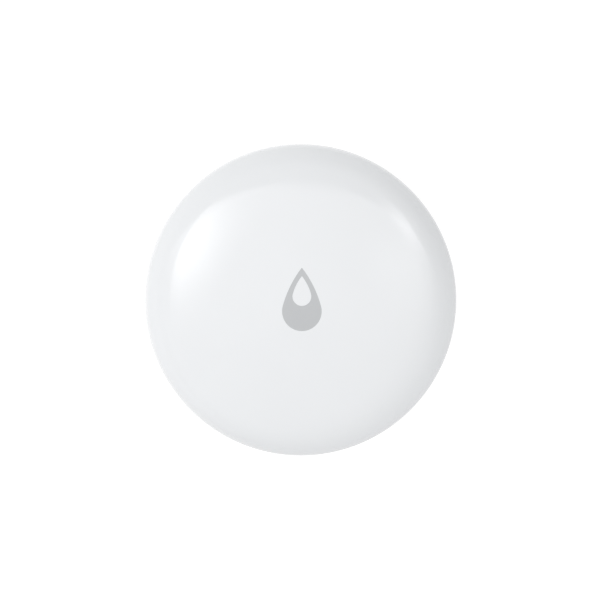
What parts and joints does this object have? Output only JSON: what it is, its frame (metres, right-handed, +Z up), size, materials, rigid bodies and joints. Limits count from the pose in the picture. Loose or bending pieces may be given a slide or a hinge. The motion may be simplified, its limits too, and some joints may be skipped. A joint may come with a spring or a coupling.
{
  "type": "water leak sensor",
  "caption": "Round domed white water leak sensor: a push cover with a grey drop symbol, a sealed base on a foot ring, a coin-cell door and probe screws underneath.",
  "frame": {"origin": "on the floor, under the middle of the sensor", "axes": "+Z up through the crown, +Y towards the tip of the drop symbol, the two probe screws on the X axis"},
  "size_m": [0.05, 0.05, 0.015],
  "materials": {
    "cover_plastic": "polished white",
    "symbol_film": "flat grey",
    "base_plastic": "fine grain white",
    "seal_rubber": "matt grey",
    "cell_steel": "nickel plated",
    "cell_insulator": "plain",
    "contact_bronze": "gold plated",
    "board_laminate": "green solder mask",
    "screw_steel": "bright",
    "chip_resin": "matt black",
    "capacitor_resin": "matt tan",
    "lamp_resin": "clear",
    "nut_brass": "turned"
  },
  "bodies": {
    "base": {"base_shell": "base_plastic", "cover_seal": "seal_rubber", "coin_cell_can": "cell_steel", "coin_cell_cap": "cell_steel", "coin_cell_seal": "cell_insulator", "positive_contact": "contact_bronze", "negative_contact": "contact_bronze", "circuit_board": "board_laminate", "board_screws": "screw_steel", "switch_case": "chip_resin", "switch_frame": "screw_steel", "switch_terminals": "screw_steel", "switch_dome": "screw_steel", "status_led": "lamp_resin", "radio_chip": "chip_resin", "crystal": "cell_steel", "antenna_trace": "contact_bronze", "chip_capacitors": "capacitor_resin", "chip_resistors": "chip_resin", "probe_screw_left": "screw_steel", "probe_screw_right": "screw_steel", "probe_seal_left": "seal_rubber", "probe_seal_right": "seal_rubber", "probe_nut_left": "nut_brass", "probe_nut_right": "nut_brass"},
    "cover": {"top_cover": "cover_plastic", "drop_mark": "symbol_film"},
    "stem": {"switch_stem": "chip_resin"},
    "door": {"battery_door": "base_plastic", "door_seal": "seal_rubber"}
  },
  "joints": [
    {"name": "cover_press", "type": "slide", "parent": "base", "child": "cover", "axis": [0, 0, -1], "range_m": [0, 0.0003], "stiffness_N_per_m": 6000, "springref_m": -0.0002},
    {"name": "switch_press", "type": "slide", "parent": "base", "child": "stem", "axis": [0, 0, -1], "range_m": [0, 0.0003], "deforming": ["switch_dome"]},
    {"name": "door_turn", "type": "hinge", "parent": "base", "child": "door", "pos_m": [0, 0, 0], "axis": [0, 0, -1], "range_deg": [0, 40]}
  ],
  "couplings": [
    {"joint": "switch_press", "follows": "cover_press", "ratio": 1}
  ]
}
